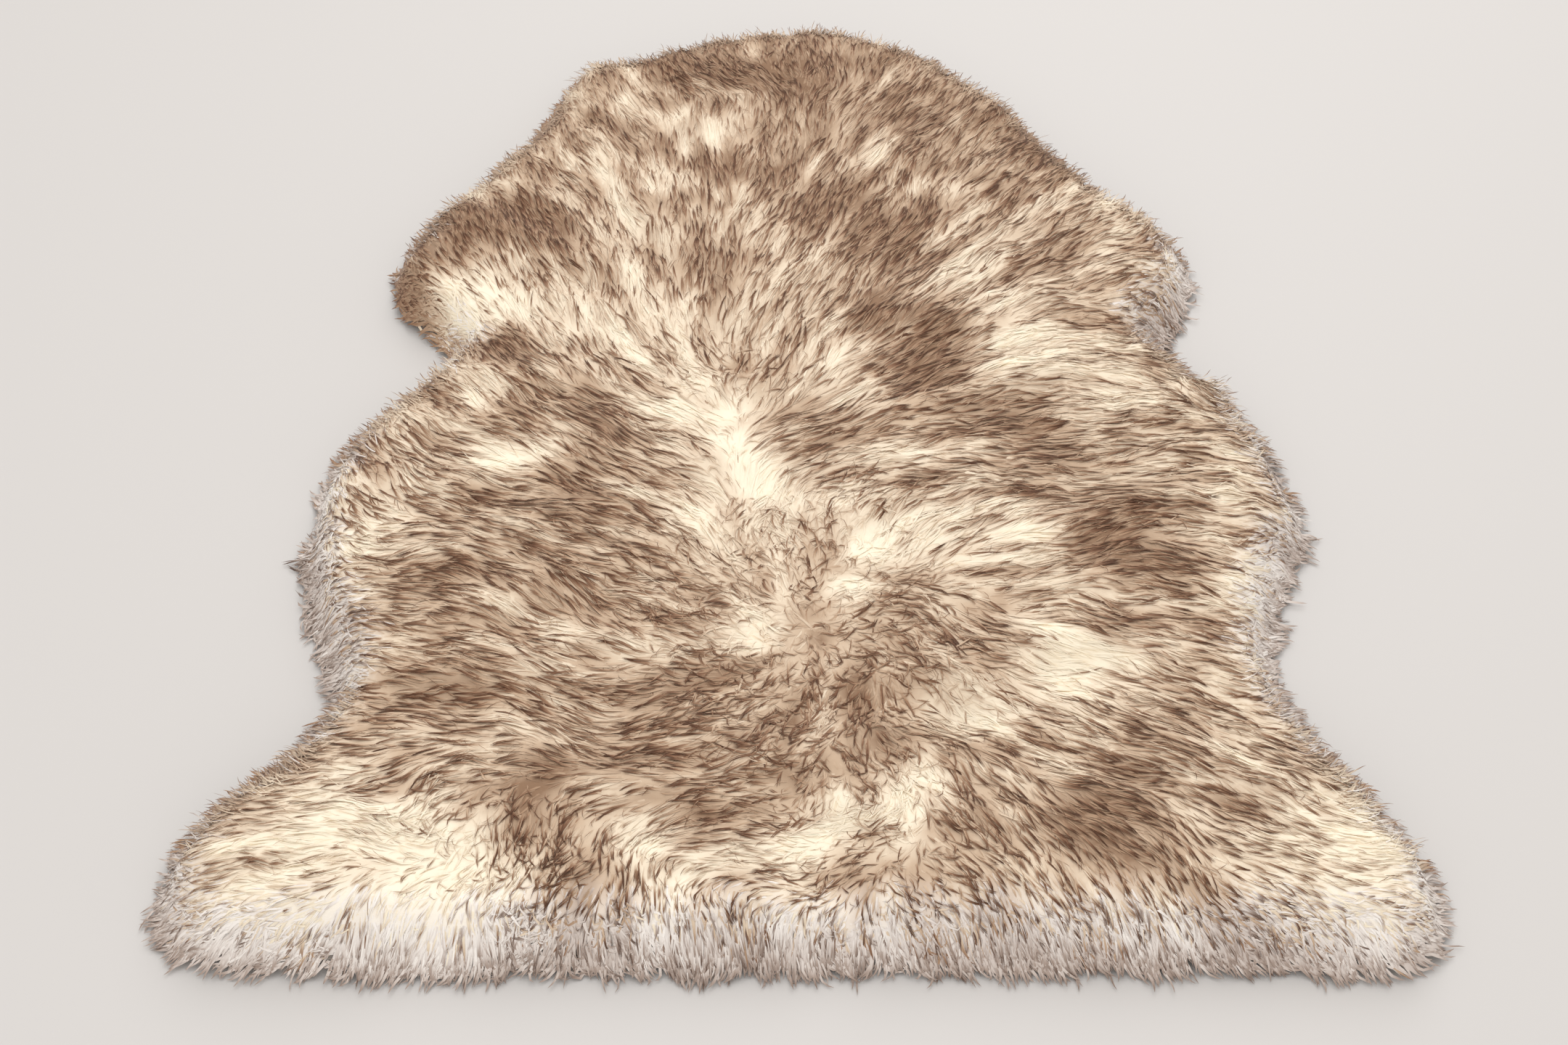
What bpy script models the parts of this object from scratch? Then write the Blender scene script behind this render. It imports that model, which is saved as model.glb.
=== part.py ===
"""A sheepskin rug: one whole tanned skin lying flat with its long brushed wool up.

Skin and wool are one piece. It is a flat-bottomed slab with the outline of the skin. Its top carries the
swells, hollows and partings of the fleece, and tapered locks stand out round the rim, level on the floor.

Metres, +Z up, +Y towards the neck. The origin is on the floor under the middle of the rug.
"""
import math

import bmesh
import bpy
from mathutils import Matrix, Vector, noise
from mathutils.geometry import delaunay_2d_cdt, interpolate_bezier

NODE_NAME = "sheepskin"
FLEECE_COLOUR = (0.62, 0.50, 0.37, 1.0)  # linear, the mean of cream wool and brown tips
FLEECE_ROUGHNESS = 0.9

# Edge of the slab, counterclockwise from the middle of the rump, before the locks are added.
OUTLINE = (
    # place on the skin      x       y
    ("rump",                0.000, -0.490),
    ("rump right",          0.170, -0.490),
    ("right thigh",         0.318, -0.492),
    ("right hock",          0.389, -0.488),
    ("right hind leg",      0.397, -0.438),
    ("right shin",          0.379, -0.391),
    ("right stifle",        0.344, -0.330),
    ("right flank waist",   0.320, -0.265),
    ("right flank",         0.331, -0.203),
    ("right belly low",     0.352, -0.155),
    ("right belly",         0.364, -0.117),
    ("right belly high",    0.352, -0.058),
    ("right rib",           0.334,  0.000),
    ("right breast",        0.300,  0.046),
    ("right armpit",        0.275,  0.086),
    ("right elbow",         0.302,  0.126),
    ("right foreleg",       0.317,  0.174),
    ("right knee",          0.306,  0.208),
    ("right shoulder",      0.264,  0.255),
    ("right neck base",     0.228,  0.302),
    ("right neck",          0.198,  0.368),
    ("right nape",          0.148,  0.428),
    ("right crown",         0.086,  0.478),
    ("crown",               0.010,  0.496),
    ("left crown",         -0.066,  0.485),
    ("left nape",          -0.128,  0.456),
    ("left ear",           -0.190,  0.438),
    ("left cheek",         -0.210,  0.390),
    ("left neck",          -0.234,  0.326),
    ("left shoulder",      -0.281,  0.257),
    ("left knee",          -0.311,  0.204),
    ("left foreleg",       -0.321,  0.152),
    ("left elbow",         -0.298,  0.111),
    ("left armpit",        -0.264,  0.082),
    ("left breast",        -0.272,  0.044),
    ("left rib",           -0.304,  0.000),
    ("left belly high",    -0.339, -0.054),
    ("left belly",         -0.347, -0.118),
    ("left belly low",     -0.344, -0.175),
    ("left flank",         -0.321, -0.232),
    ("left flank waist",   -0.310, -0.292),
    ("left stifle",        -0.337, -0.346),
    ("left shin",          -0.377, -0.388),
    ("left hind leg",      -0.397, -0.438),
    ("left hock",          -0.384, -0.482),
    ("left thigh",         -0.316, -0.493),
    ("rump left",          -0.160, -0.492),
)

# Height of the wool above the floor.
FLEECE_HEIGHT = 0.046
RIM_HEIGHT = 0.010
RIM_ROUNDING = 0.050  # how far in from the edge the wool reaches its full height
RIM_FULLNESS = 2.4  # 2 gives a quarter ellipse, more a fuller side

# Soft swells (height above 0) and hollows where the wool opens (height below 0).
SWELLS = (
    # place                  x       y     radius  height
    ("crown",               0.000,  0.400, 0.110,  0.004),
    ("left shoulder",      -0.190,  0.200, 0.095,  0.005),
    ("right shoulder",      0.185,  0.200, 0.120,  0.004),
    ("withers",             0.070,  0.105, 0.100,  0.005),
    ("left ribs",          -0.205, -0.025, 0.070,  0.005),
    ("left belly",         -0.180, -0.190, 0.130,  0.006),
    ("right belly",         0.240, -0.145, 0.120,  0.006),
    ("right thigh",         0.210, -0.405, 0.110,  0.005),
    ("left thigh",         -0.300, -0.415, 0.110,  0.004),
    ("left foreleg hollow", -0.245,  0.103, 0.050, -0.008),
    ("left rib hollow",    -0.205, -0.079, 0.045, -0.008),
    ("belly hollow",        0.070, -0.162, 0.050, -0.010),
    ("right flank hollow",  0.180, -0.290, 0.045, -0.009),
    ("loin hollow",         0.106, -0.322, 0.040, -0.008),
    ("rump hollow",         0.020, -0.423, 0.055, -0.010),
    ("left rump hollow",   -0.092, -0.423, 0.045, -0.010),
    ("left thigh hollow",  -0.222, -0.456, 0.055, -0.007),
)

# The parting along the back, from the withers to the rump. The wool is brushed away from it.
PARTING_DEPTH = 0.010
PARTING_WIDTH = 0.060
PARTING = (
    # x       y
    (-0.052,  0.060),
    (-0.048, -0.027),
    (-0.032, -0.103),
    ( 0.014, -0.183),
    ( 0.033, -0.283),
    ( 0.008, -0.400),
)

# Tufts: soft lumps drawn out along the way the wool is brushed.
TUFT_HEIGHT = 0.026
TUFT_WIDTH = 0.030
TUFT_STRIDE = 0.016
TUFT_STEPS = 3

GRAIN = 0.0168  # spacing of the points over the fleece's top

# Locks of wool round the rim, each pulled out of its own face of the slab's edge.
LOCK_COUNT = 150
LOCK_ROOT_SHARE = 0.6  # a lock's root as a share of the distance to the next lock's root
LOCK_SHORTEST = 0.011
LOCK_LONGEST = 0.026
LOCK_LEAN_DEGREES = 13.0  # locks lean together, one way and then the other, round the rim
LOCK_CURL_DEGREES = 26.0  # how far a lock bends from its root to its tip
LOCK_ROOM = 0.30  # a lock's longest reach in a hollow corner, as a share of the corner's radius
LOCK_SECTIONS = (
    # share of length, of root width, of root height
    (0.36, 0.86, 0.76),
    (0.72, 0.54, 0.44),
    (1.00, 0.15, 0.18),
)


def smooth_loop(corners, count):
    """Points at equal distances along a smooth closed curve through the corners."""
    dense = []
    for i, here in enumerate(corners):
        before, after = corners[i - 1], corners[(i + 1) % len(corners)]
        beyond = corners[(i + 2) % len(corners)]
        reach = (after - here).length / 3.0
        leave = here + (after - before).normalized() * reach
        arrive = after - (beyond - here).normalized() * reach
        dense += [p.to_2d() for p in interpolate_bezier(here, leave, arrive, after, 25)[:-1]]
    return evenly_spaced(dense, count)


def evenly_spaced(loop, count):
    """A closed loop of points resampled at equal distances."""
    ends = loop[1:] + loop[:1]
    lengths = [(b - a).length for a, b in zip(loop, ends)]
    step = sum(lengths) / count
    points, walked, target = [], 0.0, 0.0
    for a, b, length in zip(loop, ends, lengths):
        while target < walked + length and len(points) < count:
            points.append(a.lerp(b, (target - walked) / length))
            target += step
        walked += length
    return points


def nearest_on_line(point, line, closed=False):
    """The nearest point to a given one on a run of straight pieces."""
    ends = line[1:] + (line[:1] if closed else [])
    nearest = line[0]
    for a, b in zip(line, ends):
        along = max(0.0, min(1.0, (point - a).dot(b - a) / (b - a).length_squared))
        foot = a.lerp(b, along)
        if (point - foot).length_squared < (point - nearest).length_squared:
            nearest = foot
    return nearest


def is_inside(point, loop):
    """Whether a point lies inside a closed loop."""
    inside = False
    for a, b in zip(loop, loop[1:] + loop[:1]):
        if (a.y > point.y) != (b.y > point.y):
            if point.x < a.x + (b.x - a.x) * (point.y - a.y) / (b.y - a.y):
                inside = not inside
    return inside


def soft_bump(distance, radius):
    """1 at the middle of a swell, falling smoothly to almost 0 at its radius."""
    return math.exp(-2.2 * (distance / radius) ** 2)


def tuft_relief(point, flow):
    """Height of the tufts: noise averaged along the flow, so that its lumps are long that way."""
    total = 0.0
    for step in range(-TUFT_STEPS, TUFT_STEPS + 1):
        place = (point + flow * TUFT_STRIDE * step) / TUFT_WIDTH
        total += noise.noise(place.to_3d())
    return TUFT_HEIGHT * total / (2 * TUFT_STEPS + 1)


def fleece_height(point, to_edge):
    """Height of the wool over a point of the floor, given its distance from the slab's edge."""
    inward = min(1.0, to_edge / RIM_ROUNDING)
    rise = (1.0 - (1.0 - inward) ** RIM_FULLNESS) ** (1.0 / RIM_FULLNESS)
    relief = 0.0
    for _, x, y, radius, height in SWELLS:
        relief += height * soft_bump((point - Vector((x, y))).length, radius)
    from_parting = point - nearest_on_line(point, [Vector(corner) for corner in PARTING])
    relief -= PARTING_DEPTH * soft_bump(from_parting.length, PARTING_WIDTH)
    relief += tuft_relief(point, from_parting.normalized())
    return RIM_HEIGHT + rise * (FLEECE_HEIGHT - RIM_HEIGHT + relief)


def rim_points():
    """The slab's edge: a pair of points for each lock's root, with a gap between one pair and the next."""
    corners = [Vector((x, y, 0.0)) for _, x, y in OUTLINE]
    fine = smooth_loop(corners, LOCK_COUNT * 10)
    root = round(10 * LOCK_ROOT_SHARE)
    return [fine[10 * lock + step] for lock in range(LOCK_COUNT) for step in (0, root)]


def distance_to_rim(point, rim):
    """How far a point lies from the slab's edge."""
    return (point - nearest_on_line(point, rim, closed=True)).length


def grain_points(rim):
    """A triangular lattice of points inside the rim."""
    row_height = GRAIN * math.sqrt(3.0) / 2.0
    width = max(abs(p.x) for p in rim)
    depth = max(abs(p.y) for p in rim)
    points = []
    for row in range(-math.ceil(depth / row_height), math.ceil(depth / row_height) + 1):
        for column in range(-math.ceil(width / GRAIN) - 1, math.ceil(width / GRAIN) + 1):
            point = Vector(((column + 0.5 * (row % 2)) * GRAIN, row * row_height))
            if is_inside(point, rim) and distance_to_rim(point, rim) > 0.55 * GRAIN:
                points.append(point)
    return points


def add_slab(bm, rim):
    """The slab: a flat underside, a low wall round the rim and the fleece's relief on top."""
    edge_count = len(rim)
    plan = rim + grain_points(rim)
    edges = [(i, (i + 1) % edge_count) for i in range(edge_count)]
    points, _, faces, sources, _, _ = delaunay_2d_cdt(plan, edges, [list(range(edge_count))], 1, 1e-6)
    top = [None] * len(plan)
    for point, source in zip(points, sources):
        on_rim = source[0] < edge_count
        to_edge = 0.0 if on_rim else distance_to_rim(point, rim)
        top[source[0]] = bm.verts.new((point.x, point.y, fleece_height(point, to_edge)))
    for face in faces:
        bm.faces.new([top[sources[i][0]] for i in face])
    floor = [bm.verts.new((p.x, p.y, 0.0)) for p in rim]
    walls = []
    for i, j in edges:
        walls.append(bm.faces.new((floor[i], floor[j], top[j], top[i])))
    bm.faces.new(reversed(floor))
    return walls


def corner_radius(rim, i):
    """Radius of the rim where it bends inwards at a point, or infinity where it bends outwards."""
    reach = 4
    before, here, after = rim[i - reach], rim[i], rim[(i + reach) % len(rim)]
    turn = (here - before).cross(after - here)
    if turn >= 0.0:
        return math.inf
    sides = (here - before).length * (after - here).length * (after - before).length
    return sides / (2.0 * abs(turn))


def lock_shape(number, room):
    """Length, lean and curl of a lock, from waves that run round the rim out of step."""
    turn = math.tau * number / LOCK_COUNT
    share = 0.5 + 0.3 * math.sin(53.0 * turn) + 0.2 * math.sin(91.0 * turn + 2.0)
    length = LOCK_SHORTEST + (LOCK_LONGEST - LOCK_SHORTEST) * share
    lean = math.radians(LOCK_LEAN_DEGREES) * math.sin(11.0 * turn)
    curl = math.radians(LOCK_CURL_DEGREES) * math.sin(13.0 * turn + 1.0)
    return min(length, LOCK_ROOM * room), lean, curl


def grow_lock(bm, root, length, lean, curl):
    """A four-sided lock, pulled out of its root face in tapering sections that lie on the floor."""
    outward = root.normal.to_2d().normalized()
    along_rim = Vector((-outward.y, outward.x))
    middle = root.calc_center_median().to_2d()
    width = 2.0 * max((v.co.to_2d() - middle).length for v in root.verts)
    height = max(v.co.z for v in root.verts)
    tip, start = root, 0.0
    for end, width_share, height_share in LOCK_SECTIONS:
        heading = Matrix.Rotation(lean + curl * (start + end) / 2.0, 2)
        base, middle = middle, middle + heading @ outward * length * (end - start)
        tip = bmesh.ops.extrude_discrete_faces(bm, faces=[tip])["faces"][0]
        for vert in tip.verts:
            side = math.copysign(0.5, (vert.co.to_2d() - base).dot(along_rim))
            place = middle + heading @ along_rim * side * width * width_share
            vert.co = (place.x, place.y, height * height_share if vert.co.z > 0.0 else 0.0)
        start = end


def centre_on_floor(bm):
    """Moves the rug so that the middle of its bounding box is over the origin."""
    xs = [v.co.x for v in bm.verts]
    ys = [v.co.y for v in bm.verts]
    middle = Vector(((min(xs) + max(xs)) / 2.0, (min(ys) + max(ys)) / 2.0, 0.0))
    bmesh.ops.translate(bm, verts=bm.verts, vec=-middle)


def fleece_material():
    """Plain matt wool."""
    material = bpy.data.materials.new("long brushed wool")
    material.use_nodes = True
    shader = material.node_tree.nodes["Principled BSDF"]
    shader.inputs["Base Color"].default_value = FLEECE_COLOUR
    shader.inputs["Roughness"].default_value = FLEECE_ROUGHNESS
    shader.inputs["Metallic"].default_value = 0.0
    return material


def build():
    for old in list(bpy.data.objects):
        bpy.data.objects.remove(old, do_unlink=True)
    rim = rim_points()
    bm = bmesh.new()
    walls = add_slab(bm, rim)
    bm.normal_update()
    for number, root in enumerate(walls[::2]):
        grow_lock(bm, root, *lock_shape(number, corner_radius(rim, 2 * number)))
    centre_on_floor(bm)
    mesh = bpy.data.meshes.new(NODE_NAME)
    bm.to_mesh(mesh)
    bm.free()
    mesh.shade_smooth()
    mesh.materials.append(fleece_material())
    bpy.context.collection.objects.link(bpy.data.objects.new(NODE_NAME, mesh))


build()
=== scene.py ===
# %% [markdown]
# # A whole sheepskin rug
# The real thing is one tanned skin, about 1.04 m long and 0.83 m wide, with its wool left long and
# brushed. The wool is cream near the skin and brown at the tips, and it lies over in locks that point
# away from a parting along the back. The lesson dresses a plain solid of that shape: a suede hide on the
# floor, a mat of under-wool, and many thousands of tapered strands that are combed along directions read
# off the real rug.

# %% Load the fixed frame
import math

import bpy
import numpy as np
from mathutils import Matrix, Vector, kdtree
from mathutils.bvhtree import BVHTree


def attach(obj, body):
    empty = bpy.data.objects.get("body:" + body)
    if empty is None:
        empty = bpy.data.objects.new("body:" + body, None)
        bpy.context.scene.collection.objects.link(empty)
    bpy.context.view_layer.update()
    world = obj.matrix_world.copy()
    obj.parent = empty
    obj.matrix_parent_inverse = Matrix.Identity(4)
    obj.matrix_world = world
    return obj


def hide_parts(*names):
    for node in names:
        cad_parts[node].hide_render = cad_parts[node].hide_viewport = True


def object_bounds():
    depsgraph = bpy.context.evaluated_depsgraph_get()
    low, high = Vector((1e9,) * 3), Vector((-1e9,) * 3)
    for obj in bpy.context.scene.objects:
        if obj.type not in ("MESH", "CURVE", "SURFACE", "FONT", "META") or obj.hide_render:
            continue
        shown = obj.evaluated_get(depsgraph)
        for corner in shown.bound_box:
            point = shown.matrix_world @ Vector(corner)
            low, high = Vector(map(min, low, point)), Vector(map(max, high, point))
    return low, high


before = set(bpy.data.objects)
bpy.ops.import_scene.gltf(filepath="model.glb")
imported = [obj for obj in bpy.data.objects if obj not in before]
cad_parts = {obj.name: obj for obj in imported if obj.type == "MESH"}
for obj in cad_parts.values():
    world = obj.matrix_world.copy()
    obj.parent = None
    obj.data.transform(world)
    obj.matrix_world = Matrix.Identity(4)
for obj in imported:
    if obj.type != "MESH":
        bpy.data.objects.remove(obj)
rug_low, rug_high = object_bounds()
skin_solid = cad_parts["sheepskin"]


def in_mm(place):
    """A place in whole millimetres, for printing."""
    return [round(1000 * v) for v in place]


print("the solid's box in mm:", in_mm(rug_low), in_mm(rug_high))

# %% [markdown]
# ## The camera
# The floor's joints run to one vanishing point, which gives the camera's tilt, and the size of the boards
# gives its height. It looks down at about 45 degrees with a lens a little longer than normal. The camera
# comes first, because the directions of the wool were read off the picture and have to be laid back onto
# the rug. A small function says where a place on the rug falls in the picture, as the camera's own lens
# would.

# %% Camera
EYE = Vector((-0.0102, -1.348, 1.2372))
LOOKS_DOWN = math.radians(44.83)
SEEN_HEIGHT = 0.04  # about how high the wool that the camera sees lies above the floor

bpy.ops.object.camera_add(location=EYE, rotation=(math.radians(90) - LOOKS_DOWN, 0, 0))
camera = bpy.context.object
camera.name = "camera"
camera.data.sensor_width = 36
camera.data.lens = 55
bpy.context.scene.camera = camera
print("the camera looks down by", round(math.degrees(LOOKS_DOWN), 1), "degrees")


def in_picture(x, y, z=SEEN_HEIGHT):
    """Where a place on the rug falls in the picture, across and up, in lengths of the lens."""
    away, below = y - EYE.y, EYE.z - z
    cos, sin = math.cos(LOOKS_DOWN), math.sin(LOOKS_DOWN)
    depth = away * cos + below * sin
    return np.array([(x - EYE.x) / depth, (away * sin - below * cos) / depth])


# %% [markdown]
# ## A map of the rug
# Each strand has to know how high the wool stands where it lies, and how far it is from the rim. Asking
# the solid for every point of every strand would be slow. Rays are dropped onto it once, on a 4 mm grid,
# and the answers are kept as maps that can be read anywhere between their points.

# %% Height map and distance to the rim
MAP_STEP = 0.004
MAP_MARGIN = 0.048
ABOVE_ALL = 0.2  # the height that the rays start from
map_x = np.arange(rug_low.x - MAP_MARGIN, rug_high.x + MAP_MARGIN, MAP_STEP)
map_y = np.arange(rug_low.y - MAP_MARGIN, rug_high.y + MAP_MARGIN, MAP_STEP)
grid_x, grid_y = np.meshgrid(map_x, map_y)


def blended(field, i, j, a, b):
    """A value between four neighbours in a field, the shares a and b past point i, j."""
    near = field[j, i] * (1 - a) + field[j, i + 1] * a
    far = field[j + 1, i] * (1 - a) + field[j + 1, i + 1] * a
    return near * (1 - b) + far * b


def read_map(field, places):
    """A map's values at places, x and y in metres, blended between its four nearest points."""
    across = np.clip((places[..., 0] - map_x[0]) / MAP_STEP, 0, field.shape[1] - 1.001)
    along = np.clip((places[..., 1] - map_y[0]) / MAP_STEP, 0, field.shape[0] - 1.001)
    i, j = across.astype(int), along.astype(int)
    a, b = across - i, along - j
    return blended(field, i, j, a, b)


def soften(field, passes):
    """The same map with each point shared with its neighbours, over and over, across and along by turns."""
    for _ in range(2 * passes):
        wide = np.pad(field, ((0, 0), (1, 1)), mode="edge")
        field = ((wide[:, :-2] + 2 * wide[:, 1:-1] + wide[:, 2:]) / 4).T
    return field


solid_tree = BVHTree.FromObject(skin_solid, bpy.context.evaluated_depsgraph_get())
down = Vector((0, 0, -1))
heights = np.zeros(grid_x.shape)
for j in range(len(map_y)):
    for i in range(len(map_x)):
        hit = solid_tree.ray_cast(Vector((map_x[i], map_y[j], ABOVE_ALL)), down)[0]
        heights[j, i] = hit.z if hit else 0.0

covered = soften((heights > 0.001).astype(float), 4) > 0.5
pile_top = soften(heights, 2)

padded = np.pad(covered, 1)
inner = padded[:-2, 1:-1] & padded[2:, 1:-1] & padded[1:-1, :-2] & padded[1:-1, 2:]
edge = covered & ~inner
edge_places = np.column_stack([grid_x[edge], grid_y[edge]])
edge_tree = kdtree.KDTree(len(edge_places))
for k, (x, y) in enumerate(edge_places):
    edge_tree.insert((x, y, 0), k)
edge_tree.balance()
to_rim = np.array([edge_tree.find((x, y, 0))[2] for x, y in zip(grid_x.ravel(), grid_y.ravel())])
outside = soften(np.where(covered, -1, 1) * to_rim.reshape(grid_x.shape), 3)  # metres outside the rim
out_y, out_x = np.gradient(outside, MAP_STEP)
slope_y, slope_x = np.gradient(soften(pile_top, 3), MAP_STEP)
print("floor covered:", round(float(covered.sum()) * MAP_STEP ** 2, 3), "m2, tallest wool:",
      round(1000 * float(pile_top.max())), "mm")

# %% [markdown]
# ## How the wool is combed
# Wool on a skin grows in one direction and is brushed out from the back. The table gives, for places on
# the rug in mm, the direction in which the tips point in the picture, in degrees: 0 is to the right and
# 90 is up the picture. A direction in the picture isn't the direction on the floor, because the camera
# sees it foreshortened, so each one is turned back through the camera. Between the places the directions
# are blended.

# %% Combing directions
COMBED = [
    # neck
    (-190, 395, 125), (-125, 380, 120), (-60, 435, 130), (-25, 440, 105), (15, 445, 95), (55, 450, 75),
    (85, 385, 50), (115, 420, 55), (145, 395, 55), (-205, 355, 130), (-140, 305, 120), (-80, 315, 100),
    (30, 350, 65), (105, 340, 35), (175, 360, 45), (205, 320, 40), (-30, 340, 85),
    # crown swirl
    (-40, 400, 158), (-75, 405, 150), (-5, 395, 140), (15, 400, 100),
    # left shoulder
    (-285, 205, 130), (-220, 245, 135), (-235, 185, 120), (-185, 180, 130), (-145, 200, 115),
    (-120, 255, 110), (-70, 265, 95), (-100, 215, 100), (-175, 145, 125), (-125, 155, 100),
    (-75, 165, 90), (-315, 125, 155), (-330, 85, 195), (-240, 95, 130), (-200, 90, 120), (-145, 110, 100),
    (-80, 125, 80),
    # right shoulder
    (-10, 255, 70), (20, 230, 60), (50, 265, 45), (100, 230, 70), (130, 265, 35), (190, 280, 25),
    (225, 265, 35), (50, 200, 45), (170, 225, 35), (225, 200, 30), (285, 200, 30), (-30, 180, 60),
    (0, 150, 50), (60, 155, 40), (100, 130, 35), (165, 150, 30), (240, 150, 20), (280, 155, 5),
    (310, 120, -60), (25, 105, 50), (70, 75, 40), (145, 75, 25),
    # left waist
    (-245, 35, 140), (-125, 70, 105), (-70, 45, 115), (-275, 5, 150), (-215, 10, 150), (-175, -5, 155),
    (-140, 10, 140), (-305, -50, 130), (-260, -30, 150), (-240, -70, 165), (-170, -70, 150),
    (-130, -45, 150), (-85, -30, 160),
    # right waist
    (-20, 75, 55), (-5, 25, 65), (70, 25, 30), (115, 35, 25), (170, 25, 10), (220, 65, -10), (45, -5, 30),
    (85, -20, 20), (150, -15, 10), (215, 15, -5), (300, 5, -35), (0, -60, 10), (90, -45, 5),
    (175, -45, 0), (265, -45, 0), (335, -65, -20),
    # left belly
    (-345, -120, 120), (-280, -100, 145), (-190, -120, 185), (-140, -110, 160), (-100, -110, 160),
    (-325, -165, 165), (-235, -125, 170), (-195, -165, 165), (-145, -160, 170), (-80, -145, 160),
    (-350, -220, 230), (-270, -185, 190), (-200, -220, 155), (-150, -225, 140), (-65, -195, 145),
    (-245, -245, 175), (-165, -265, 170), (-115, -250, 165), (-50, -270, 185), (-360, -260, 240),
    # right belly
    (25, -95, 20), (75, -90, 0), (135, -75, -5), (180, -85, -5), (220, -90, 5), (80, -165, 30),
    (100, -130, 20), (210, -170, 15), (255, -135, -5), (305, -145, -5), (345, -140, -30), (45, -210, -10),
    (145, -190, 5), (255, -200, -15), (330, -185, -5), (105, -240, -20), (210, -235, -15),
    (290, -255, -15), (350, -230, -10),
    # curls at the small of the back
    (-20, -125, 80), (-5, -150, 110), (-30, -235, 130), (0, -215, 95), (30, -255, -60), (-45, -320, 205),
    (40, -290, -85), (75, -290, -35), (-5, -335, 250), (25, -335, -75), (70, -340, -15), (10, -275, 240),
    # left haunch
    (-335, -295, 190), (-295, -280, 185), (-225, -320, 175), (-90, -290, 185), (-275, -325, 185),
    (-200, -370, 185), (-155, -345, 155), (-65, -365, 180), (-330, -405, 180), (-265, -420, 160),
    (-235, -400, 210), (-190, -415, 255), (-105, -385, 195), (-25, -380, 185), (-370, -435, 195),
    (-310, -455, 190), (-160, -470, 240), (-135, -435, 250), (-100, -460, 270), (-55, -435, 180),
    (-390, -495, 210), (-345, -520, 210), (-315, -495, 205), (-255, -495, 260), (-215, -480, 265),
    (-295, -545, 200), (-230, -520, 250), (-150, -530, 220), (-245, -550, 225), (-190, -548, 228),
    (-110, -548, 238),
    # right haunch
    (45, -375, -70), (115, -395, -40), (195, -390, -15), (230, -420, -40), (380, -405, -25),
    (105, -445, -45), (250, -465, -45), (280, -435, -20), (355, -455, -5), (205, -490, -60),
    (300, -500, -50), (350, -505, -65), (390, -480, -20), (250, -550, -56), (290, -545, -48),
    (350, -545, -32), (180, -530, -62), (400, -520, -25),
    # rump
    (-10, -445, 170), (25, -455, 235), (45, -420, 185), (-105, -505, 280), (-50, -490, 285),
    (5, -525, 270), (35, -495, 290), (-70, -550, 270), (-35, -530, 245), (90, -510, 285), (0, -548, 262),
    (60, -545, 278),
]

SMALL_STEP = 0.001
BLEND = 0.010  # metres within which a direction from the table rules alone


def on_the_floor(x, y, seen):
    """The direction on the rug, as a unit vector, that shows in the picture at the angle that was seen."""
    here = in_picture(x, y)
    across = (in_picture(x + SMALL_STEP, y) - here) / SMALL_STEP
    away = (in_picture(x, y + SMALL_STEP) - here) / SMALL_STEP
    turned = np.linalg.solve(np.column_stack([across, away]), [math.cos(seen), math.sin(seen)])
    return turned / np.linalg.norm(turned)


comb_x, comb_y = grid_x * 0, grid_x * 0
for x, y, seen in COMBED:
    x, y = x / 1000, y / 1000
    reach = 1 / ((grid_x - x) ** 2 + (grid_y - y) ** 2 + BLEND ** 2) ** 2
    direction = on_the_floor(x, y, math.radians(seen))
    comb_x += reach * direction[0]
    comb_y += reach * direction[1]
comb_length = np.hypot(comb_x, comb_y)
comb_x, comb_y = comb_x / comb_length, comb_y / comb_length
print("directions read off the picture:", len(COMBED))

# %% [markdown]
# ### The same directions on a slope
# A strand that runs down a slope also loses height, and the camera sees that too: on the steep side of
# the rim it would hang straight down in the picture, though the real wool there slants. So the direction
# on the floor is solved once more for each point of the map. Across and away it now also brings the climb
# of the slope, and it is chosen so that the strand still shows at the angle that was read.

# %% Directions corrected for the slope
STEEPEST = 1.5
STEEPEST_HIDDEN = -0.2  # slopes that face away from the camera aren't seen, so they are hardly corrected


def per_metre(dx, dy, dz):
    """How far a small step moves a place in the picture, across and up, for each metre of the step."""
    there = in_picture(grid_x + dx, grid_y + dy, SEEN_HEIGHT + dz)
    return (there - in_picture(grid_x, grid_y)) / SMALL_STEP


climb_x = np.clip(slope_x, -STEEPEST, STEEPEST)
climb_y = np.clip(slope_y, STEEPEST_HIDDEN, STEEPEST)
right, away, up = per_metre(SMALL_STEP, 0, 0), per_metre(0, SMALL_STEP, 0), per_metre(0, 0, SMALL_STEP)
seen_x, seen_y = right[0] * comb_x + away[0] * comb_y, right[1] * comb_x + away[1] * comb_y
a, b = right[0] + up[0] * climb_x, away[0] + up[0] * climb_y
c, d = right[1] + up[1] * climb_x, away[1] + up[1] * climb_y
comb_x, comb_y = (d * seen_x - b * seen_y) / (a * d - b * c), (a * seen_y - c * seen_x) / (a * d - b * c)
comb_length = np.hypot(comb_x, comb_y)
comb_x, comb_y = soften(comb_x / comb_length, 2), soften(comb_y / comb_length, 2)
print("steepest slopes:", round(float(np.abs(slope_x[covered]).max()), 2), "across,",
      round(float(np.abs(slope_y[covered]).max()), 2), "away")

# %% [markdown]
# ## Light and dark patches
# The tips are dark in some places and nearly cream in others, and where the wool parts, the pale
# under-wool shows. A table names these patches by place, in mm, with how far each reaches and how much
# darker or lighter it is. A second, short table names places where the wool is pale but its tips are
# brown all the same.

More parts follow.
